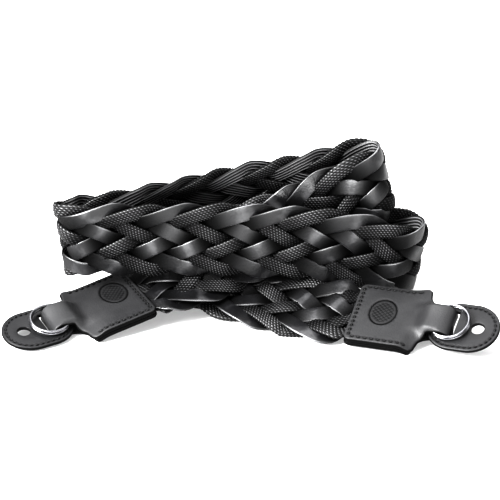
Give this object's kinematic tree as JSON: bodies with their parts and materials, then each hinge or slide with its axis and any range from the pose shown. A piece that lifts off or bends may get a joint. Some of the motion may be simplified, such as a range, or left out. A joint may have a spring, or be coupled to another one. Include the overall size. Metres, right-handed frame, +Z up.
{
  "type": "coiled braided camera strap",
  "caption": "Black flat-braided leather and cord camera strap lying in a loose coil, with stitched leather end tabs, split rings and leather protectors.",
  "frame": {"origin": "centre of the bounding box in x and y, on the surface that the strap lies on", "axes": "x runs along the coil from the left tab to the right tab, y runs away from the picture's viewer, z is up"},
  "size_m": [0.1834, 0.0844, 0.0604],
  "materials": {
    "braid": "satin black leather strips braided with matt black textile cords",
    "leather": "smooth black leather with a soft sheen",
    "steel": "polished steel wire"
  },
  "bodies": {
    "root": {"braided_band": "braid", "end_tab_right": "leather", "end_tab_left": "leather", "split_ring_right": "steel", "split_ring_left": "steel", "protector_right": "leather", "protector_left": "leather"}
  },
  "joints": []
}
